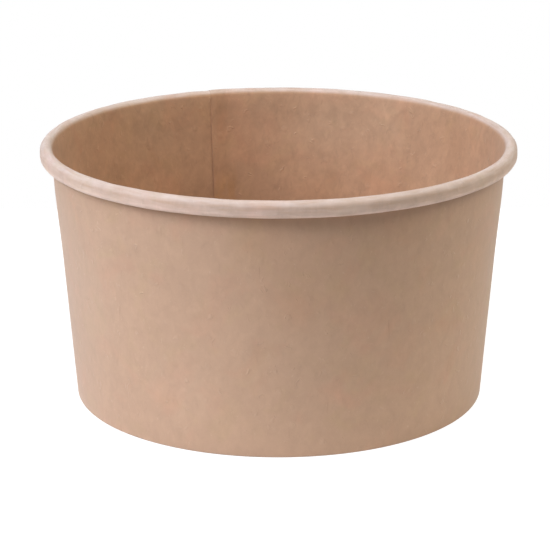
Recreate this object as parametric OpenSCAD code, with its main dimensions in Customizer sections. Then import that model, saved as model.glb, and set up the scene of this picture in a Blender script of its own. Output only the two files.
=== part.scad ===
// Paper salad bowl: a wound and lapped paper wall with a rolled rim, and a sealed-in bottom disc.
// Millimetres. The origin is on the table under the centre of the bowl, and +Z points up.

/* [Bowl] */
// Outer diameter over the rolled rim, the size that lids are sold by
rim_outer_d = 150; // [140:1:190]
// Overall height, from the table to the top of the rim
bowl_h = 82; // [50:1:120]
// Diameter of the wall's outer face where it reaches the table
foot_d = 130; // [110:1:136]
// Thickness of the wall's paper board
wall_t = 0.45; // [0.3:0.05:0.7]

/* [Rolled rim] */
// Width of the roll, from the inner face of the wall to the outside of the rim
rim_w = 4.1; // [3.6:0.1:6]
// Height of the straight stretch on the outside of the roll
rim_side_h = 1.3; // [0.8:0.1:3]
// Space between the tucked end of the roll and the outer face of the wall
tuck_gap = 0.1; // [0.05:0.05:0.3]

/* [Lap seam] */
// Direction of the seam's inner cut edge, in degrees from +X
seam_angle = 109; // [0:1:359]
// Width of the overlap at the middle of the wall
lap_w = 8; // [4:0.5:14]
// Width of the slope where the outer layer climbs over the inner one
ramp_w = 3.5; // [3:0.5:8]
// Plain stretch between the upper end of the seam and the roll
seam_stop = 0.6; // [0.3:0.1:3]

/* [Bottom] */
// Thickness of the bottom disc's paper board
disc_t = 0.45; // [0.3:0.05:0.7]
// Height of the recess under the bottom disc
recess_h = 6.5; // [5:0.5:12]
// Inner radius of the disc's bend, where it turns down into its skirt
disc_crease_r = 0.45; // [0.2:0.05:1]
// Height that the hem stops short of the disc
hem_stop = 0.7; // [0.4:0.1:2]
// Space on each side of the skirt, between the sealed layers of the foot
seal_gap = 0.1; // [0.05:0.05:0.2]
// Inner radius of the foot's bend on the outside of the bowl
heel_crease_r = 0.25; // [0.1:0.05:0.3]
// Inner radius of the foot's bend on the side of the recess
toe_crease_r = 0.05; // [0.05:0.05:0.1]

/* [Colours] */
// Colour of the wall's board
wall_colour = "#C49A78"; // [#C49A78:Kraft brown, #E8DCCB:Pale]
// Colour of the bottom disc's board
disc_colour = "#A87C58"; // [#A87C58:Kraft brown, #E8DCCB:Pale]

/* [Hidden] */
$fn = 180;

// Facets along the rounds of the roll, and along a tight crease
roll_steps = 12;
crease_steps = 6;

// The roll's upper bend, the crown, is half of the roll's width in radius
rim_r = rim_outer_d / 2;
foot_r = foot_d / 2;
crown_r = rim_w / 2;
crown = [rim_r - crown_r, bowl_h - crown_r];

// The wall leans so that its outer face touches the inner circle of the crown
to_crown = [crown[0] - foot_r, crown[1]];
lean = acos((crown_r - wall_t) / norm(to_crown)) - atan2(to_crown[1], to_crown[0]);

// The roll's lower bend, the curl, runs from the outside of the rim back to the tucked end
curl_z = crown[1] - rim_side_h;
curl_r = ((rim_r - foot_r) * cos(lean) - curl_z * sin(lean) - tuck_gap) / (1 + cos(lean));
curl = [rim_r - curl_r, curl_z];

// Depths of the foot's layers behind the wall's outer face: the skirt, then the hem
skirt_near = wall_t + seal_gap;
skirt_far = skirt_near + disc_t;
hem_near = skirt_far + seal_gap;
hem_far = hem_near + wall_t;

// The foot's two bends, one under the wall and one under the hem, with a flat ring between them
heel_r = wall_t + heel_crease_r;
heel = [wall_at(heel_r) - heel_r / cos(lean), heel_r];
toe_r = wall_t + toe_crease_r;
toe = [wall_at(toe_r) - (hem_far - toe_r) / cos(lean), toe_r];
hem_top = (recess_h - hem_stop - hem_far * sin(lean)) / cos(lean);

// The bottom disc's bend, from the floor of the bowl into the skirt
disc_bend_r = disc_t + disc_crease_r;
disc_bend_z = recess_h + disc_t - disc_bend_r;
disc_bend = [wall_at(disc_bend_z) - (skirt_near + disc_bend_r) / cos(lean), disc_bend_z];

// The seam shows on the straight wall, from the disc up to just below the roll
seam_z = [recess_h, curl_z - curl_r - seam_stop];
seam_r = wall_at((seam_z[0] + seam_z[1]) / 2);
layer = wall_t / cos(lean);
lap_angle = lap_w / seam_r * 180 / PI;
ramp_angle = ramp_w / seam_r * 180 / PI;

// Radius of the wall's outer face at a height
function wall_at(z) = foot_r + z * tan(lean);

// Distance up the slope of the wall to the place square to a point
function up_wall(point) = (point[0] - foot_r) * sin(lean) + point[1] * cos(lean);

// A point up the slope of the wall and at a depth behind its outer face
function behind_wall(depth, up) =
    [foot_r + up * sin(lean) - depth * cos(lean), up * cos(lean) + depth * sin(lean)];

// A point at a distance and an angle from zero
function polar(distance, angle) = distance * [cos(angle), sin(angle)];

// The points of a bend in the board
function bend(centre, radius, from, to, steps) =
    [for (i = [0:steps]) centre + polar(radius, from + (to - from) * i / steps)];

// The same points, last one first
function backwards(points) = [for (i = [len(points) - 1:-1:0]) points[i]];

// One face of the wall's board in section, from the hem's edge round the foot and the roll to the tuck
function wall_face(hem_depth, tuck_depth, foot_inset, roll_inset) = concat(
    [behind_wall(hem_depth, hem_top)],
    bend(toe, toe_r - foot_inset, 180 - lean, 270, crease_steps),
    bend(heel, heel_r - foot_inset, 270, 360 - lean, crease_steps),
    bend(crown, crown_r - roll_inset, 180 - lean, 0, roll_steps),
    bend(curl, curl_r - roll_inset, 0, -180 - lean, roll_steps),
    [behind_wall(tuck_depth, up_wall(curl) + rim_side_h)]);

// One face of the disc's board in section, from the centre of the floor to the skirt's edge
function disc_face(skirt_depth, inset) = concat(
    [[0, recess_h + disc_t - inset]],
    bend(disc_bend, disc_bend_r - inset, 90, -lean, crease_steps),
    [behind_wall(skirt_depth, up_wall(heel))]);

// The straight wall beside the seam in section, moved outwards, with its inner face set back by a depth
module seam_band(out, depth) {
    bottom = wall_at(seam_z[0]) + out;
    top = wall_at(seam_z[1]) + out;
    polygon([[bottom - depth, seam_z[0]], [bottom, seam_z[0]], [top, seam_z[1]], [top - depth, seam_z[1]]]);
}

// A sector of the bowl between two angles, over the height of the seam
module sector(from, to) {
    reach = 2 * rim_r;
    translate([0, 0, seam_z[0]]) linear_extrude(seam_z[1] - seam_z[0])
        polygon([[0, 0], polar(reach, from), polar(reach, to)]);
}

// The slope: the same wall moved sideways, so that it climbs by one layer across its sector
module seam_ramp() {
    sideways = layer / sin(ramp_angle);
    forward = seam_r - sqrt(seam_r ^ 2 - sideways ^ 2);
    start = seam_angle + ramp_angle;
    intersection() {
        translate(polar(forward, start) + polar(sideways, start - 90)) rotate_extrude() seam_band(0, layer);
        sector(seam_angle, start);
    }
}

// The outer layer of the overlap, bonded to the wall that it lies on
module seam_lap() {
    bond = layer / 2;
    intersection() {
        rotate_extrude() seam_band(layer, layer + bond);
        sector(seam_angle - lap_angle, seam_angle);
    }
}

// The wound wall with its rolled rim, folded hem and lap seam
module side_wall() {
    outer = wall_face(hem_far, -tuck_gap - wall_t, 0, wall_t);
    inner = wall_face(hem_near, -tuck_gap, wall_t, 0);
    color(wall_colour) {
        difference() {
            rotate_extrude() polygon(concat(outer, backwards(inner)));
            sector(seam_angle, seam_angle + ramp_angle);
        }
        seam_ramp();
        seam_lap();
    }
}

// The bottom: a floor with its edge bent down into a skirt
module bottom_disc() {
    upper = disc_face(skirt_near, 0);
    under = disc_face(skirt_far, disc_t);
    color(disc_colour) rotate_extrude() polygon(concat(upper, backwards(under)));
}

side_wall();
bottom_disc();
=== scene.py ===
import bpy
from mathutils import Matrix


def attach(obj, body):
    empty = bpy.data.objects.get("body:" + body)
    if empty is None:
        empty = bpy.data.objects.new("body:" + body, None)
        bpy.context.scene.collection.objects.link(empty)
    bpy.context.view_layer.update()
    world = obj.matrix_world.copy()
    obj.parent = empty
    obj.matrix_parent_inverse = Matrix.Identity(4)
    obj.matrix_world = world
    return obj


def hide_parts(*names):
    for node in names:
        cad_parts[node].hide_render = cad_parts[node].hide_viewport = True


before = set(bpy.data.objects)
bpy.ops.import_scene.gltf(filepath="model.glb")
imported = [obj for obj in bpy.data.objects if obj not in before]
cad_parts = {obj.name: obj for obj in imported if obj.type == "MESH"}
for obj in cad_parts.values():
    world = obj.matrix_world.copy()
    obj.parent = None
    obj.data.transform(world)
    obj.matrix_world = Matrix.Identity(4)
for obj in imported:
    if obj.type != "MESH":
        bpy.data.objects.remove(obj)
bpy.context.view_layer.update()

# Bottom disc
# A round blank die-cut from kraft board that is coated on the food's side. A punch turns its edge down
# into a short skirt, and the skirt is later sealed between the wall and the wall's hem.
import bpy
import numpy as np

MM = 0.001

# The forming mandrel is a cone: the wall's outer face leans out from the foot to the roll. The crown is the
# roll's upper bend. The roll is 0.1 mm inside the rim's gauge, as its bumps and its lap reach out to it.
BOARD = 0.45 * MM
FOOT_RADIUS = 65 * MM
CROWN_RADIUS = 2.05 * MM
CROWN = np.array([72.85, 79.85]) * MM
to_crown = CROWN - [FOOT_RADIUS, 0]
LEAN = np.arccos((CROWN_RADIUS - BOARD) / np.hypot(*to_crown)) - np.arctan2(to_crown[1], to_crown[0])
COS, SIN = np.cos(LEAN), np.sin(LEAN)

# The skirt stands at a depth behind the wall's outer face, and ends a little above the foot's crease.
DISC_TOP = 6.95 * MM
DISC_BEND_RADIUS = 0.9 * MM
DISC_SAG = 0.25 * MM
DISC_WAVE = 0.06 * MM
DISC_DEPTH = 0.55 * MM
SKIRT_END = 0.75 * MM
DISC_COLUMNS = 360


def wall_at(z):
    """Radius of the wall's outer face at a height: the foot's radius plus the height times the lean's
    tangent."""
    return FOOT_RADIUS + z * np.tan(LEAN)


def behind_wall(depth, up):
    """Point (radius, height) at a distance up the wall's slope and at a depth square to its outer face."""
    return np.array([FOOT_RADIUS + up * SIN - depth * COS, up * COS + depth * SIN])


def run(first, last, inward, count):
    """A straight run of board: points spaced evenly from first to last, each with the same unit direction
    through the board."""
    t = np.linspace(0, 1, count)[:, None]
    return first + t * (np.asarray(last) - first), np.tile(inward, (count, 1))


def bend(centre, radius, start, stop, count, side):
    """A bend in the board: the centre plus the radius in each direction from start to stop, in radians. The
    direction through the board points away from the centre for side 1, and towards it for side -1."""
    a = np.linspace(start, stop, count)
    away = np.c_[np.cos(a), np.sin(a)]
    return centre + radius * away, side * away


def path_of(*parts):
    """Runs and bends joined into one path, with each part's first point left out where it repeats the last
    one. Gives points, directions through the board, and each point's distance along the path."""
    points = np.concatenate([parts[0][0]] + [p[1:] for p, _ in parts[1:]])
    through = np.concatenate([parts[0][1]] + [n[1:] for _, n in parts[1:]])
    steps = np.hypot(*np.diff(points, axis=0).T)
    return points, through, np.concatenate([[0], np.cumsum(steps)])


def step(x, start, stop):
    """Zero before start and one after stop, with a smooth change between: 3t squared less 2t cubed."""
    t = np.clip((x - start) / (stop - start), 0, 1)
    return t * t * (3 - 2 * t)


def around(radius, height, azimuth):
    """Points turned about the bowl's axis: radius times the azimuth's cosine and sine, at the height."""
    return np.stack(np.broadcast_arrays(radius * np.cos(azimuth), radius * np.sin(azimuth), height), -1)


def waves(across, along, seed, count, longest, shortest):
    """Unevenness of formed board: a sum of cosines that travel at random over two coordinates, longer waves
    higher, scaled to about plus and minus one. The first coordinate is an angle, and each wave goes round a
    whole number of times, from the longest wave's number up to the shortest one's."""
    draw = np.random.default_rng(seed)
    turns = draw.integers(longest, shortest + 1, count)
    travel = draw.normal(0, 1, count)
    phase = draw.uniform(0, 2 * np.pi, count)
    height = (turns / longest) ** -0.7
    total = np.zeros(np.broadcast(across, along).shape)
    for k in range(count):
        total += height[k] * np.cos(turns[k] * across + travel[k] * along + phase[k])
    return total / np.sqrt(2 * (height ** 2).sum())


def grid_faces(columns, rows, close_columns, close_rows):
    """Quads of a grid whose points count row by row inside each column. A closed direction joins its last
    line to its first."""
    c = np.arange(columns if close_columns else columns - 1)[:, None]
    r = np.arange(rows if close_rows else rows - 1)[None, :]
    c2, r2 = (c + 1) % columns, (r + 1) % rows
    return np.stack([c * rows + r, c * rows + r2, c2 * rows + r2, c2 * rows + r], -1).reshape(-1, 4)


def board_piece(name, points, faces, marks):
    """A new piece of board from its points and faces, smooth but for its cut edges. Marks are attributes of
    its points: three numbers each for a place on the blank, one number each for an effect."""
    mesh = bpy.data.meshes.new(name)
    mesh.from_pydata(points.reshape(-1, 3).tolist(), [], [f for group in faces for f in group.tolist()])
    mesh.polygons.foreach_set("use_smooth", np.ones(len(mesh.polygons), bool))
    mesh.set_sharp_from_angle(angle=np.radians(40))
    for mark, values in marks.items():
        kind, slot = ("FLOAT_VECTOR", "vector") if values.shape[-1] == 3 else ("FLOAT", "value")
        mesh.attributes.new(mark, kind, "POINT").data.foreach_set(slot, values.astype(np.float32).ravel())
    mesh.update()
    piece = bpy.data.objects.new(name, mesh)
    bpy.context.scene.collection.objects.link(piece)
    return piece


def fill(tree, made, inputs):
    """Fills a node's inputs: a socket is joined, a value is set."""
    for key, value in inputs.items():
        if isinstance(value, bpy.types.NodeSocket):
            tree.links.new(value, made.inputs[key])
        else:
            made.inputs[key].default_value = value
    return made


def add(tree, kind, inputs=None, **settings):
    """Adds a shader node with its settings and its inputs."""
    made = tree.nodes.new("ShaderNode" + kind)
    for setting, value in settings.items():
        setattr(made, setting, value)
    return fill(tree, made, inputs or {})


def math(tree, operation, *terms):
    """One sum on numbers that vary over the surface."""
    return add(tree, "Math", dict(enumerate(terms)), operation=operation).outputs[0]


def plus(tree, first, second):
    """Two numbers that vary over the surface, added."""
    return math(tree, "ADD", first, second)


def times(tree, first, second):
    """Two numbers that vary over the surface, multiplied."""
    return math(tree, "MULTIPLY", first, second)


def stretch(tree, value, low, high, to_low=0.0, to_high=1.0):
    """A value between low and high, brought to the range from to_low to to_high and held there."""
    ends = {"Value": value, "From Min": low, "From Max": high, "To Min": to_low, "To Max": to_high}
    return add(tree, "MapRange", ends).outputs[0]


def mix(tree, share, first, second, blend="MIX"):
    """Two colours blended by a share that varies over the surface."""
    return add(tree, "Mix", {0: share, 6: first, 7: second}, data_type="RGBA", blend_type=blend).outputs[2]


def noise(tree, place, scale, detail=2.0, distortion=0.0, roughness=0.5):
    """Soft random patches. The scale is in patches a metre."""
    inputs = {"Vector": place, "Scale": scale, "Detail": detail, "Distortion": distortion,
              "Roughness": roughness}
    return add(tree, "TexNoise", inputs).outputs[0]


def drawn_out(tree, place, share):
    """A place on the blank with its first coordinate, the grain's direction, shrunk to a share. What is drawn
    on it runs out longer along the grain."""
    return add(tree, "VectorMath", {0: place, 1: (share, 1, 1)}, operation="MULTIPLY").outputs[0]


def new_group(name, sockets_in, sockets_out):
    """An empty node group with named sockets, and its nodes for what comes in and what goes out."""
    group = bpy.data.node_groups.new(name, "ShaderNodeTree")
    for socket, (kind, value) in sockets_in.items():
        made = group.interface.new_socket(name=socket, in_out="INPUT", socket_type="NodeSocket" + kind)
        if value is not None:
            made.default_value = value
    for socket, kind in sockets_out.items():
        group.interface.new_socket(name=socket, in_out="OUTPUT", socket_type="NodeSocket" + kind)
    return group, group.nodes.new("NodeGroupInput").outputs, group.nodes.new("NodeGroupOutput").inputs


def kraft_board():
    """Unbleached board as its fibres lie on the blank. Its brown is shaded by clouds, mottles, dark flecks,
    streaks along the grain and a fine grain, and is redder or yellower in patches. Pale fibres and thin dark
    ones lie in it, and knots and curls of fibre lift the coating. Gives colour, roughness and relief."""
    tree, given, out = new_group(
        "kraft_board",
        {"Blank": ("Vector", None), "Board": ("Color", (0.5, 0.3, 0.18, 1)), "Clouds": ("Float", 0.1),
         "Mottles": ("Float", 0.1), "Hues": ("Float", 1.0), "Streaks": ("Float", 0.1),
         "Fibres": ("Float", 0.5), "Knots": ("Float", 0.5), "Roughness": ("Float", 0.6)},
        {"Colour": "Color", "Roughness": "Float", "Relief": "Float"})
    blank = given["Blank"]

    def along_grain(share):
        """The place on the blank, with what is drawn on it longer along the grain."""
        return drawn_out(tree, blank, share)

    def about_nought(value, amount):
        """A noise less its middle value of a half, times an amount."""
        return times(tree, math(tree, "SUBTRACT", value, 0.5), amount)

    clouds = noise(tree, blank, 70, detail=3, distortion=0.5, roughness=0.55)
    mottles = noise(tree, along_grain(0.8), 260, distortion=0.6)
    small_mottles = noise(tree, along_grain(0.75), 620, distortion=0.8)
    flecks = stretch(tree, noise(tree, along_grain(0.6), 430, distortion=1.2), 0.60, 0.80)
    streaks = noise(tree, along_grain(0.13), 480, detail=3, distortion=0.3, roughness=0.55)
    fine_grain = noise(tree, along_grain(0.8), 2200, detail=3, distortion=0.8, roughness=0.6)
    pale = stretch(tree, noise(tree, along_grain(0.45), 1250, distortion=1.6), 0.67, 0.79)
    dark = stretch(tree, noise(tree, along_grain(0.10), 1000, detail=1, distortion=0.5), 0.245, 0.17)

    # A knot fills the middle of a cell, with a ragged edge, and only some cells have one.
    cells = add(tree, "TexVoronoi", {"Vector": blank, "Scale": 170.0, "Randomness": 1.0},
                voronoi_dimensions="2D").outputs
    ragged = plus(tree, about_nought(small_mottles, 0.30), cells["Distance"])
    chosen = stretch(tree, add(tree, "SeparateColor", {0: cells["Color"]}).outputs[0], 0.5, 0.95)
    knots = times(tree, times(tree, stretch(tree, ragged, 0.20, 0.02), chosen), given["Knots"])

    # A curl is the thin line where a soft noise passes its middle value, and shows in a few patches only.
    bent = noise(tree, blank, 300, detail=1, distortion=0.8)
    line = stretch(tree, math(tree, "ABSOLUTE", about_nought(bent, 1.0)), 0.06, 0.0)
    patch = stretch(tree, noise(tree, blank, 270, detail=1), 0.64, 0.71)
    curls = times(tree, times(tree, line, patch), given["Knots"])

    shade = plus(tree, about_nought(clouds, given["Clouds"]), 1.0)
    shade = plus(tree, shade, about_nought(mottles, given["Mottles"]))
    shade = plus(tree, shade, about_nought(small_mottles, times(tree, given["Mottles"], 0.5)))
    shade = math(tree, "SUBTRACT", shade, times(tree, flecks, times(tree, given["Mottles"], 0.35)))
    shade = plus(tree, shade, about_nought(streaks, given["Streaks"]))
    shade = plus(tree, shade, about_nought(fine_grain, 0.07))
    shaded = add(tree, "VectorMath", {0: given["Board"], "Scale": shade}, operation="SCALE").outputs[0]

    between_red, red = (0.995, 1.003, 1.003, 1), (1.075, 0.965, 0.955, 1)
    between_yellow, yellow = (1.004, 0.997, 1.01, 1), (0.985, 1.012, 0.935, 1)
    redder = stretch(tree, noise(tree, blank, 60, detail=3, distortion=0.8, roughness=0.55), 0.52, 0.76)
    redder = mix(tree, times(tree, redder, given["Hues"]), between_red, red)
    yellower = stretch(tree, noise(tree, blank, 90, detail=3, distortion=0.8), 0.52, 0.78)
    yellower = mix(tree, times(tree, yellower, given["Hues"]), between_yellow, yellow)
    hue = mix(tree, 1.0, redder, yellower, "MULTIPLY")
    shaded = mix(tree, 1.0, shaded, hue, "MULTIPLY")

    pale_fibre, dark_fibre = (0.85, 0.66, 0.50, 1), (0.20, 0.085, 0.035, 1)
    pale = math(tree, "MULTIPLY_ADD", knots, 0.15, pale)
    pale = times(tree, math(tree, "MULTIPLY_ADD", curls, 0.25, pale), given["Fibres"])
    with_pale = mix(tree, times(tree, pale, 0.3), shaded, pale_fibre)
    dark = times(tree, dark, times(tree, given["Fibres"], 0.5))
    tree.links.new(mix(tree, dark, with_pale, dark_fibre), out["Colour"])
    tree.links.new(plus(tree, about_nought(clouds, 0.12), given["Roughness"]), out["Roughness"])

    relief = math(tree, "MULTIPLY_ADD", small_mottles, 0.6, times(tree, fine_grain, 0.25))
    relief = plus(tree, mottles, relief)
    relief = math(tree, "MULTIPLY_ADD", curls, 4.2, relief)
    tree.links.new(math(tree, "MULTIPLY_ADD", knots, 3.6, relief), out["Relief"])
    return tree


def attribute(tree, name, output="Fac"):
    """One of the piece's own marks, read back in its material."""
    return add(tree, "Attribute", attribute_name=name).outputs[output]


def board_material(name):
    """A material ready for the nodes that colour it, with its node tree and its shader."""
    material = bpy.data.materials.new(name)
    material.use_nodes = True
    return material, material.node_tree, material.node_tree.nodes["Principled BSDF"]


def place_group(tree, group, inputs):
    """A node group placed in a material with its own values."""
    made = tree.nodes.new("ShaderNodeGroup")
    made.node_tree = group
    return fill(tree, made, inputs).outputs


def satin_coating(tree, shader, colour, roughness, relief):
    """The coated face of the board. Colour, roughness and relief vary over it, its fibres lift it by up to a
    few hundredths of a millimetre, and its soft gloss and sheen are the same all over."""
    tree.links.new(colour, shader.inputs["Base Color"])
    tree.links.new(roughness, shader.inputs["Roughness"])
    bump = add(tree, "Bump", {"Strength": 0.6, "Distance": 0.04 * MM, "Height": relief})
    tree.links.new(bump.outputs[0], shader.inputs["Normal"])
    shader.inputs["Specular IOR Level"].default_value = 0.3
    shader.inputs["Sheen Weight"].default_value = 0.2
    shader.inputs["Sheen Roughness"].default_value = 0.5


# The path is the disc's upper face in section, from the centre of the floor round the bend to the skirt's
# edge. The direction through the board points to its underside.
disc_bend_z = DISC_TOP - DISC_BEND_RADIUS
disc_bend = np.array([wall_at(disc_bend_z) - (DISC_DEPTH + DISC_BEND_RADIUS) / COS, disc_bend_z])
skirt_in = np.array([-COS, SIN])
floor_part = run((0, DISC_TOP), (disc_bend[0], DISC_TOP), (0, -1), 26)
bend_part = bend(disc_bend, DISC_BEND_RADIUS, np.pi / 2, -LEAN, 8, -1)
skirt_part = run(bend_part[0][-1], behind_wall(DISC_DEPTH, SKIRT_END), skirt_in, 4)
disc_points, disc_through, disc_along = path_of(floor_part, bend_part, skirt_part)
disc_turn = np.linspace(0, 2 * np.pi, DISC_COLUMNS, endpoint=False)[:, None]


def disc_face(depth):
    """One face of the disc: its path turned about the axis, moved through the board by the depth. The floor
    sags by a parabola of the radius and waves a little, and both fade out at the bend."""
    path = disc_points + depth * disc_through
    reach = np.clip(disc_points[:, 0] / disc_bend[0], 0, 1)
    on_floor = np.clip((disc_points[:, 1] - disc_bend_z) / DISC_BEND_RADIUS, 0, 1)
    fade = step(reach, 0, 0.12) * (1 - step(reach, 0.85, 1))
    slow = waves(disc_turn, 9 * reach, seed=5, count=14, longest=2, shortest=9)
    wavy = DISC_WAVE * slow * fade * on_floor
    sag = DISC_SAG * (1 - reach ** 2) * on_floor
    return around(path[:, 0], path[:, 1] + wavy - sag, disc_turn)


# Each column runs along the upper face to the skirt's edge and back under it. A fan of triangles closes each
# of the two middles.
disc_rows = len(disc_points) - 1
disc_upper, disc_under = disc_face(0), disc_face(BOARD)
disc_loop = np.concatenate([disc_upper[:, 1:], disc_under[:, :0:-1]], 1)
disc_poles = np.stack([disc_upper[0, 0], disc_under[0, 0]])
disc_quads = grid_faces(DISC_COLUMNS, 2 * disc_rows, True, False)
upper_pole = DISC_COLUMNS * 2 * disc_rows
column = np.arange(DISC_COLUMNS) * 2 * disc_rows
next_column = np.roll(column, -1)
top_fan = np.stack([np.full(DISC_COLUMNS, upper_pole), column, next_column], -1)
under_fan = np.stack([np.full(DISC_COLUMNS, upper_pole + 1), next_column, column], -1)
under_fan[:, 1:] += 2 * disc_rows - 1

# The disc's own blank is its path laid out flat. The underside lies a metre away on it, so that the two
# faces don't show the same fibres.
on_blank = around(disc_along, 0, disc_turn)
OTHER_FACE = np.array([0, 1.0, 0])
disc_blank = np.concatenate([on_blank[:, 1:], on_blank[:, :0:-1] + OTHER_FACE], 1).reshape(-1, 3)
disc_blank = np.concatenate([disc_blank, [[0, 0, 0], OTHER_FACE]])
bottom_disc = board_piece(
    "bottom_disc_board",
    np.concatenate([disc_loop.reshape(-1, 3), disc_poles]),
    [disc_quads, top_fan, under_fan],
    {"blank": disc_blank})

KRAFT_BROWN = (0.515, 0.324, 0.215, 1)
kraft = kraft_board()
disc_board, tree, shader = board_material("kraft_disc")
board = place_group(tree, kraft, {
    "Blank": attribute(tree, "blank", "Vector"), "Board": KRAFT_BROWN, "Clouds": 0.2, "Mottles": 0.3,
    "Hues": 1.0, "Streaks": 0.03, "Fibres": 0.5, "Knots": 0.6, "Roughness": 0.6})
satin_coating(tree, shader, board["Colour"], board["Roughness"], board["Relief"])
bottom_disc.data.materials.append(disc_board)
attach(bottom_disc, "root")
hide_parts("bottom_disc")

# Side wall
# One fan-shaped blank of the same board, wound on the mandrel until its ends overlap in a heat-sealed lap.
# Its lower edge is folded in and up as a hem, which a knurled wheel presses on the disc's skirt, and its
# upper edge is rolled outwards into the rim.
TUCK_GAP = 0.1 * MM
RIM_RADIUS = CROWN[0] + CROWN_RADIUS
RIM_SIDE = 1.3 * MM
CURL_Z = CROWN[1] - RIM_SIDE
CURL_RADIUS = ((RIM_RADIUS - FOOT_RADIUS) * COS - CURL_Z * SIN - TUCK_GAP) / (1 + COS)
CURL = np.array([RIM_RADIUS - CURL_RADIUS, CURL_Z])
HEEL_RADIUS, TOE_RADIUS = 0.70 * MM, 0.50 * MM
HEM_DEPTH = 1.55 * MM
HEM_HEIGHT = 5.8 * MM
HEM_TOP = (HEM_HEIGHT - HEM_DEPTH * SIN) / COS
heel = np.array([wall_at(HEEL_RADIUS) - HEEL_RADIUS / COS, HEEL_RADIUS])
toe = np.array([wall_at(TOE_RADIUS) - (HEM_DEPTH - TOE_RADIUS) / COS, TOE_RADIUS])

# Forming leaves the board uneven, and presses or squeezes it where layers lie on each other. Pressed and
# squeezed are shares of the board's thickness.
WALL_WAVE, WALL_BOW = 0.09 * MM, 0.3 * MM
ROLL_SWELL, ROLL_CRINKLE, ROLL_DENT = 0.05 * MM, 0.004 * MM, 0.13 * MM
LAP_LIFT, KNURL = 0.08 * MM, 0.12 * MM
PRESSED, SQUEEZED = 0.5, 0.7

# The path is the board's outer face in section, from the hem's edge round the foot, up the wall and round
# the roll to its tucked end. The direction through the board points to the food's side.
points_in = {"hem": 6, "toe": 5, "ring": 2, "heel": 6, "wall": 20,
             "crown": 13, "side": 2, "curl": 11, "tuck": 2}
to_food = np.array([-COS, SIN])
to_skirt = -to_food
toe_part = bend(toe, TOE_RADIUS, np.pi - LEAN, 1.5 * np.pi, points_in["toe"], -1)
heel_part = bend(heel, HEEL_RADIUS, 1.5 * np.pi, 2 * np.pi - LEAN, points_in["heel"], -1)
crown_part = bend(CROWN, CROWN_RADIUS - BOARD, np.pi - LEAN, 0, points_in["crown"], 1)
curl_part = bend(CURL, CURL_RADIUS - BOARD, 0, -np.pi - LEAN, points_in["curl"], 1)
tuck_end = curl_part[0][-1] + RIM_SIDE * np.array([SIN, COS])
wall_points, wall_through, wall_along = path_of(
    run(behind_wall(HEM_DEPTH, HEM_TOP), toe_part[0][0], to_skirt, points_in["hem"]),
    toe_part,
    run(toe_part[0][-1], heel_part[0][0], (0, 1), points_in["ring"]),
    heel_part,
    run(heel_part[0][-1], crown_part[0][0], to_food, points_in["wall"]),
    crown_part,
    run(crown_part[0][-1], curl_part[0][0], (1, 0), points_in["side"]),
    curl_part,
    run(curl_part[0][-1], tuck_end, to_food, points_in["tuck"]))
wall_rows = len(wall_points)
ends = np.cumsum(list(points_in.values())) - np.arange(len(points_in)) - 1
row_at_end = dict(zip(points_in, ends))
hem_end, wall_start, crown_start = row_at_end["hem"], row_at_end["heel"], row_at_end["wall"]
curl_start, tuck_start = row_at_end["side"], row_at_end["curl"]

# The blank winds from its inner cut edge once round, and on over its own start by the width of the lap. Its
# columns are closer together where it eases off the lap and where it climbs onto it.
SEAM = np.radians(109)
LAP = np.radians(6.71)
RAMP = np.radians(6.5)
RELAX = np.radians(3.4)
FULL_TURN = 2 * np.pi
spans = [(0, LAP, 14), (LAP, LAP + RELAX, 8), (LAP + RELAX, FULL_TURN - RAMP, 690),
         (FULL_TURN - RAMP, FULL_TURN, 8), (FULL_TURN, FULL_TURN + LAP, 14)]
wound = np.concatenate([[0.0]] + [np.linspace(a, b, n + 1)[1:] for a, b, n in spans])[:, None]
azimuth = SEAM - wound
wall_columns = len(wound)


def roll_share():
    """Zero on the wall and one on the roll."""
    return step(wall_along, wall_along[crown_start] - 5 * MM, wall_along[crown_start] + 0.8 * MM)


def pressed():
    """One where two layers are pressed into the space of one: at the foot, by the heat seal, and over the
    roll, by the rolling die. It is zero on the wall between them, from 9 mm up."""
    return np.maximum(1 - step(wall_points[:, 1], 6 * MM, 9 * MM), roll_share())


def under_lap():
    """How far the layer is the inner one of two: one over the lap, then zero past a short slope."""
    return 1 - step(wound, LAP, LAP + RELAX)


def over_lap():
    """How far the layer has climbed over the blank's start: zero, then a slope up to one over the lap."""
    return step(wound, FULL_TURN - RAMP, FULL_TURN)


def tucked():
    """Zero on the wall and over the roll, and one in the tucked end, which grows through the curl."""
    return step(wall_along, wall_along[curl_start], wall_along[tuck_start])


def strain_and_painted_light():
    """How pale the roll is made, partly as the pale of fibres that bending strains and partly as painted
    light: zero on the wall and one over the crown, where the paleness is also a painted highlight from the
    light above, with less on the straight stretch outside the roll, which is painted shade on the roll's
    middle. The second mask is the same for the curl, which is bent tighter, and it also paints the light that
    the table bounces up under the roll."""
    crown_mark, curl_mark = wall_along[crown_start], wall_along[curl_start]
    straight = step(wall_along, curl_mark - 2.7 * MM, curl_mark - 1.4 * MM)
    crown_pale_and_highlight = step(wall_along, crown_mark + 0.4 * MM, crown_mark + 1.4 * MM) * (1 - 0.45 * straight)
    curl_pale_and_bounce_light = step(wall_along, curl_mark - 0.5 * MM, curl_mark + 0.7 * MM)
    return crown_pale_and_highlight, curl_pale_and_bounce_light


def dents(count, seed, depth, width, height):
    """Small dents from handling and from the rolling die: bells of a random depth, width and height at random
    places round the roll and across its outside."""
    draw = np.random.default_rng(seed)
    place = draw.uniform(-np.pi, np.pi, count)
    row = draw.uniform(wall_along[crown_start + 4], wall_along[tuck_start - 3], count)
    deep = depth * draw.uniform(0.35, 1, count)
    wide = width * draw.uniform(0.5, 1.4, count) / RIM_RADIUS
    high = height * draw.uniform(0.6, 1.3, count)
    off = (azimuth[..., None] - place + np.pi) % FULL_TURN - np.pi
    over = (wall_along[:, None] - row) / high
    return (deep * np.exp(-(off / wide) ** 2 - over ** 2)).sum(-1)


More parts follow.
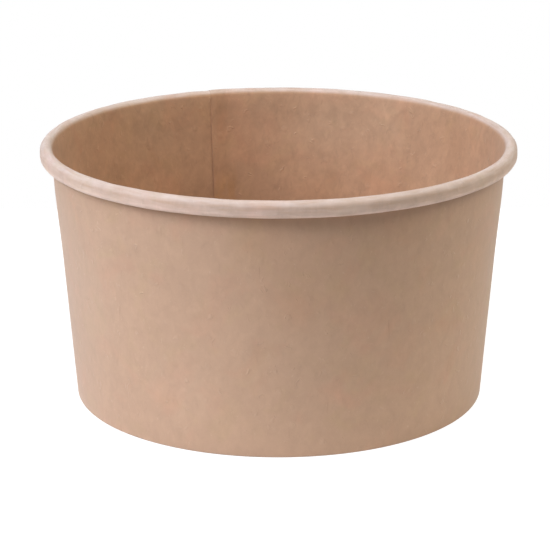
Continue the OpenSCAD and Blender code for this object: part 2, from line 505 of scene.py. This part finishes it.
def squeezed():
    """How far the heat seal squeezes the blank's two ends: most at the cut edge, none 1.5 mm in, and more in
    some places along the seam than in others."""
    from_edge = np.minimum(wound, FULL_TURN + LAP - wound) * FOOT_RADIUS
    along_seam = waves(wall_along / (30 * MM), 0, seed=51, count=8, longest=2, shortest=9)
    return (1 - step(from_edge, 0, 1.5 * MM)) * np.clip(0.75 + 0.25 * along_seam, 0.4, 1)


def unevenness():
    """Moves the whole board to and fro: slow waves in the wall, which bows out a little below the roll, and
    swells, crinkles and dents in the roll. It dies out at the foot, which stands flat on the table."""
    up, height = wall_along / (10 * MM), wall_points[:, 1]
    slow = waves(azimuth, 0.5 * up, seed=11, count=18, longest=2, shortest=12)
    wall = WALL_WAVE * slow * (1 - roll_share()) * step(height, 7 * MM, 22 * MM)
    wall = wall - WALL_BOW * step(height, 46 * MM, 68 * MM) * (1 - step(height, 70 * MM, 75.5 * MM))
    wall = wall * (wall_along > wall_along[wall_start - 1]) * (wall_along < wall_along[crown_start + 1])
    swell = ROLL_SWELL * waves(azimuth, 6 * up, seed=21, count=20, longest=6, shortest=40)
    crinkle = ROLL_CRINKLE * waves(azimuth, 14 * up, seed=31, count=26, longest=60, shortest=150)
    outside = step(wall_along, wall_along[crown_start + 6], wall_along[curl_start + 4])
    dented = dents(count=110, seed=41, depth=ROLL_DENT, width=3.4 * MM, height=0.8 * MM)
    roll = swell + crinkle * (0.4 + 0.6 * outside) - dented
    return wall + roll * roll_share() * (1 - tucked())


def knurl():
    """Ribs that the knurled wheel presses into the hem: a raised cosine, squared, round the bowl, over the
    hem's flat."""
    ribs = 180
    across = step(wall_along, wall_along[0] + 0.5 * MM, wall_along[1]) * (
        1 - step(wall_along, wall_along[hem_end - 1], wall_along[hem_end]))
    return KNURL * (0.5 - 0.5 * np.cos(ribs * azimuth)) ** 2 * across


def wall_layers():
    """The board's two faces, as points turned about the axis. Each is the path moved through the board: by
    the layer's own place in the lap, plus the unevenness, and for the food's face by the thickness too. On
    the wall the outer layer lies a board's thickness further out. At the foot and over the roll the two
    layers share one thickness, and in the tuck the outer one lies inside the roll."""
    press, under, over, tuck = pressed(), under_lap(), over_lap(), tucked()
    lap_share = np.maximum(under, over)
    thick = BOARD * (1 - PRESSED * press * lap_share) * (1 - SQUEEZED * squeezed())
    place = PRESSED * BOARD * press * under - BOARD * (1 - press) * over
    place = place + SQUEEZED * BOARD * squeezed() * (1 - press) * over * (wound > np.pi)
    place = place - BOARD * tuck * np.where(wound < np.pi, under, over)
    place = place + LAP_LIFT * roll_share() * (1 - tuck) * lap_share
    place = place + unevenness()
    outer = wall_points + (place + knurl())[..., None] * wall_through
    inner = wall_points + (place + thick)[..., None] * wall_through
    return around(outer[..., 0], outer[..., 1], azimuth), around(inner[..., 0], inner[..., 1], azimuth)


# Each column runs up the outer face and back down the food's face. Two rows of quads close the cut ends.
wall_outer, wall_food = wall_layers()
wall_loop = np.concatenate([wall_outer, wall_food[:, ::-1]], 1)
wall_quads = grid_faces(wall_columns, 2 * wall_rows, False, True)
row = np.arange(wall_rows - 1)
start_cut = np.stack([row, 2 * wall_rows - 1 - row, 2 * wall_rows - 2 - row, row + 1], -1)
end_cut = start_cut[:, ::-1] + (wall_columns - 1) * 2 * wall_rows

# The blank is the cone rolled out flat: its radius is the distance from the cone's tip, and it sweeps by the
# winding angle times the sine of the lean. The grain runs along its middle line, opposite the seam.
fan_radius = FOOT_RADIUS / SIN + wall_along - wall_along[wall_start]
fan_angle = (wound - np.pi - LAP / 2) * SIN
fan = np.stack([fan_radius * np.cos(fan_angle) - fan_radius[0], fan_radius * np.sin(fan_angle),
                np.zeros((wall_columns, wall_rows))], -1)
wall_blank = np.concatenate([fan, fan[:, ::-1] + OTHER_FACE], 1)


def both_faces(value, food_value=None):
    """A mark for each point of the loop: the outer face's rows, then the food face's rows in reverse."""
    outer = np.broadcast_to(value, (wall_columns, wall_rows))
    food = outer if food_value is None else np.broadcast_to(food_value, (wall_columns, wall_rows))
    return np.concatenate([outer, food[:, ::-1]], 1)[..., None]


def tone_and_light_bells(patches):
    """Painted light and shade over a face, with some of the board's own tone in it: from minus one for a
    light olive, which lightens the brown, to one for a dark red, which darkens it. A sum of soft bells, each
    with an azimuth and half a width in degrees, a height and half a height in millimetres, and a strength."""
    total = np.zeros((wall_columns, wall_rows))
    for middle, wide, height, high, strength in patches:
        off = (np.degrees(azimuth) - middle + 180) % 360 - 180
        total += strength * np.exp(-(off / wide) ** 2 - ((wall_points[:, 1] / MM - height) / high) ** 2)
    return total


# The roll's pale marks: partly stretched fibres, partly a painted highlight on the crown, painted shade on
# the straight stretch and painted bounce light on the curl.
crown_pale_and_highlight, curl_pale_and_bounce_light = strain_and_painted_light()
# Inside, the light olive bells high on the far side are painted light, and the dark red bells lower down
# darken and redden the brown.
inside_tone_and_light = tone_and_light_bells([
    (78, 10, 45, 9, 0.8), (57, 10, 50, 9, 0.7), (147, 9, 60, 9, 0.5), (136, 7, 54, 7, 0.4),
    (32, 7, 68, 10, 0.4), (108, 4, 68, 8, 0.4), (76, 11, 71, 9, -1.0), (58, 8, 73, 8, -0.8),
    (128, 9, 72, 9, -0.8), (96, 5, 74, 6, -0.4), (101, 10, 61, 11, 0.4)])
# Outside, the dark red bells under the roll and on the front are painted shade, and the light olive bells on
# the lit left are painted light.
outside_painted_light_and_shade = tone_and_light_bells([
    (265, 7, 71, 8, 0.5), (274, 5, 48, 6, 0.5), (300, 7, 71, 7, 0.4), (243, 9, 22, 12, -0.3),
    (276, 16, 60, 15, 0.45), (212, 14, 42, 20, -0.4)])

# On the food's side the lap is browner, most of all at its cut edge and high up. Lower down, the heat seal
# has melted the coating in places and scorched the board.
high_up = step(wall_along, 52 * MM, 72 * MM)
browned = (1 - step(wound, 0.3 * LAP, LAP)) * (0.35 + 0.65 * high_up) * (wound < LAP)
scorched = (1 - step(wound, 0.9 * LAP, 1.15 * LAP)) * (1 - step(wall_along, 52 * MM, 66 * MM))

# The marks of the rolling die run along the roll, so their place is drawn in to a tenth round the bowl.
round_roll = around(0.1 * RIM_RADIUS, wall_along, azimuth)
side_wall = board_piece(
    "side_wall_board", wall_loop, [wall_quads, start_cut, end_cut],
    {"blank": wall_blank,
     "crown_whitening_and_highlight": both_faces(crown_pale_and_highlight),
     "curl_whitening_and_bounce": both_faces(curl_pale_and_bounce_light),
     "food_face": both_faces(0.0, 1 - crown_pale_and_highlight),
     "browned": both_faces(0.0, browned),
     "tone_and_light_bells": both_faces(outside_painted_light_and_shade, inside_tone_and_light),
     "scorched": both_faces(0.0, scorched),
     "round_roll": np.concatenate([round_roll, round_roll[:, ::-1]], 1)})
cut_edge = np.zeros(len(side_wall.data.polygons), np.float32)
hem_edge = np.arange(wall_columns - 1) * 2 * wall_rows + 2 * wall_rows - 1
tuck_edge = np.arange(wall_columns - 1) * 2 * wall_rows + wall_rows - 1
cut_edge[np.concatenate([hem_edge, tuck_edge])] = 1
cut_edge[len(wall_quads):] = 1
side_wall.data.attributes.new("cut_edge", "FLOAT", "FACE").data.foreach_set("value", cut_edge)

# Tints multiply the board's brown, and a stretched or melted place keeps its fibres. The crown and curl tints
# are partly the pale of stretched fibres and partly painted light: a painted highlight on the crown and
# painted bounce light on the curl. The olive and red tints are painted light and painted shade. A cut edge
# shows raw board in a colour of its own.
UNTINTED = (1, 1, 1, 1)
COATED_TINT = (0.932, 0.866, 0.785, 1)
# Painted light over the pale of stretched fibres: a highlight on the crown and bounce light on the curl.
CROWN_PALE_AND_HIGHLIGHT_TINT, CURL_PALE_AND_BOUNCE_TINT = (1.31, 1.66, 2.22, 1), (1.65, 1.92, 2.38, 1)
BROWNED_TINT, SCORCHED_TINT = (0.90, 0.855, 0.80, 1), (0.98, 0.90, 0.72, 1)
# Tints for the painted shade, dark red, and for the painted light, light olive.
DARK_TONE_AND_PAINTED_SHADE, LIGHT_TONE_AND_PAINTED_LIGHT = (0.967, 0.906, 0.848, 1), (1.057, 1.129, 1.18, 1)
CUT_BOARD = (0.38, 0.205, 0.115, 1)
wall_board, tree, shader = board_material("kraft_wall")
blank, food_face = attribute(tree, "blank", "Vector"), attribute(tree, "food_face")
board = place_group(tree, kraft, {
    "Blank": blank, "Board": KRAFT_BROWN, "Clouds": stretch(tree, food_face, 0, 1, 0.13, 0.33),
    "Mottles": stretch(tree, food_face, 0, 1, 0.16, 0.34), "Hues": 0.62, "Streaks": 0.03, "Fibres": 0.6,
    "Knots": 1.0, "Roughness": 0.6})
banded = noise(tree, attribute(tree, "round_roll", "Vector"), 1100, detail=3, distortion=0.3, roughness=0.6)
banded = stretch(tree, banded, 0.30, 0.66, 0.45, 1.0)
tint = mix(tree, food_face, UNTINTED, COATED_TINT)
# The roll's tints paint a highlight on the crown and the table's bounce light on the curl, over the pale of
# stretched fibres.
tint = mix(tree, times(tree, attribute(tree, "crown_whitening_and_highlight"), banded), tint, CROWN_PALE_AND_HIGHLIGHT_TINT)
tint = mix(tree, times(tree, attribute(tree, "curl_whitening_and_bounce"), banded), tint, CURL_PALE_AND_BOUNCE_TINT)
melted = stretch(tree, noise(tree, drawn_out(tree, blank, 0.3), 240, distortion=0.6), 0.40, 0.56)
seal_tint = mix(tree, attribute(tree, "browned"), UNTINTED, BROWNED_TINT)
seal_tint = mix(tree, times(tree, melted, attribute(tree, "scorched")), seal_tint, SCORCHED_TINT)
# Painted light and shade: the bells lighten the brown to olive and darken it to red.
tone_and_light = attribute(tree, "tone_and_light_bells")
seal_tint = mix(tree, stretch(tree, tone_and_light, 0, 1), seal_tint, DARK_TONE_AND_PAINTED_SHADE)
seal_tint = mix(tree, stretch(tree, tone_and_light, 0, -1), seal_tint, LIGHT_TONE_AND_PAINTED_LIGHT)
tinted = mix(tree, 1.0, board["Colour"], tint, "MULTIPLY")
tinted = mix(tree, 1.0, tinted, seal_tint, "MULTIPLY")
cut = attribute(tree, "cut_edge")
raw_roughness = math(tree, "MULTIPLY_ADD", cut, 0.3, board["Roughness"])
satin_coating(tree, shader, mix(tree, cut, tinted, CUT_BOARD), raw_roughness, board["Relief"])
side_wall.data.materials.append(wall_board)
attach(side_wall, "root")
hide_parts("side_wall")

# Table
# A plain white sheet under the bowl. The camera sees mostly its own glow, a little less than white, and the
# light that falls on it makes up the rest, so it greys only close to the foot. To other light it is matt.
FLOOR_SIZE = 0.42
MATT, SHOWN, GLOW = 0.8, 0.3, 0.88
floor_mesh = bpy.data.meshes.new("table")
corner = FLOOR_SIZE / 2
floor_mesh.from_pydata(
    [(-corner, -corner, 0), (corner, -corner, 0), (corner, corner, 0), (-corner, corner, 0)], [],
    [(0, 1, 2, 3)])
table = bpy.data.objects.new("table", floor_mesh)
bpy.context.scene.collection.objects.link(table)


def seen_rays(tree):
    """One for rays from the camera, a reflection or a see-through piece, and zero for all others."""
    rays = add(tree, "LightPath").outputs
    seen = math(tree, "MAXIMUM", rays["Is Camera Ray"], rays["Is Glossy Ray"])
    return math(tree, "MAXIMUM", seen, rays["Is Transmission Ray"])


white_table = bpy.data.materials.new("white_table")
white_table.use_nodes = True
tree = white_table.node_tree
tree.nodes.clear()
matt = add(tree, "BsdfDiffuse", {"Color": (MATT, MATT, MATT, 1)}).outputs[0]
lit = add(tree, "BsdfDiffuse", {"Color": (SHOWN, SHOWN, SHOWN, 1)}).outputs[0]
glow = add(tree, "Emission", {"Color": (1, 1, 1, 1), "Strength": GLOW}).outputs[0]
shown = add(tree, "AddShader", {0: lit, 1: glow}).outputs[0]
surface = add(tree, "MixShader", {0: seen_rays(tree), 1: matt, 2: shown}).outputs[0]
add(tree, "OutputMaterial", {"Surface": surface})
table.data.materials.append(white_table)

# Studio light
# A dim white room, which the camera sees as plain white, and six square soft boxes round the bowl. The three
# to the left are neutral to cool and give most of the light. The three to the right and in front are warm.
from mathutils import Matrix, Vector

ROOM = 0.1
BOX_SIZE = 0.7
world = bpy.data.worlds.new("white_room")
world.use_nodes = True
tree = world.node_tree
tree.nodes.clear()
level = stretch(tree, seen_rays(tree), 0, 1, ROOM, 1.0)
backdrop = add(tree, "Background", {"Color": (1, 1, 1, 1), "Strength": level}).outputs[0]
add(tree, "OutputWorld", {"Surface": backdrop})
bpy.context.scene.world = world


def soft_box(name, place, watts, tint):
    """A square lamp at a place, turned to face the middle of the bowl."""
    lamp = bpy.data.lights.new(name, "AREA")
    lamp.shape, lamp.size, lamp.energy, lamp.color = "SQUARE", BOX_SIZE, watts, tint
    holder = bpy.data.objects.new(name, lamp)
    holder.location = place
    holder.rotation_euler = (Vector((0, 0, 0.04)) - Vector(place)).to_track_quat("-Z", "Y").to_euler()
    bpy.context.scene.collection.objects.link(holder)


WHITE, COOL, WARM = (0.985, 1.0, 1.025), (0.935, 1.0, 1.1), (1.03, 1.0, 0.87)
soft_box("box_left", (-1.135, -0.655, 0.918), 18.6, COOL)
soft_box("box_high_left", (-0.65, -0.65, 1.31), 6.5, WHITE)
soft_box("box_low_left", (-1.355, -0.78, 0.333), 2.1, COOL)
soft_box("box_right", (1.31, 0.0, 0.918), 8.9, WARM)
soft_box("box_high_right", (0.92, 0.0, 1.31), 3.3, WARM)
soft_box("box_front_right", (0.65, -0.65, 1.31), 2.5, WARM)

# Camera
# It stands 0.75 m from the bowl's middle and 17 degrees above it, with a long lens. Its place, aim, roll and
# lens were fitted to the outlines of the rim, the wall and the foot.
EYE = Vector((0.0, -0.72155, 0.26181))
AIM = Vector((-0.001218, -0.000558, 0.037192))
ROLL = np.radians(-0.109)
LENS, SENSOR = 154.41, 36
camera_data = bpy.data.cameras.new("camera")
camera_data.lens, camera_data.sensor_width = LENS, SENSOR
camera_data.clip_start, camera_data.clip_end = 0.05, 20
camera = bpy.data.objects.new("camera", camera_data)
turn = (AIM - EYE).to_track_quat("-Z", "Y").to_matrix().to_4x4() @ Matrix.Rotation(ROLL, 4, "Z")
camera.matrix_world = Matrix.Translation(EYE) @ turn
bpy.context.scene.collection.objects.link(camera)
bpy.context.scene.camera = camera
bpy.context.scene.view_settings.view_transform = "Standard"

bpy.context.view_layer.update()
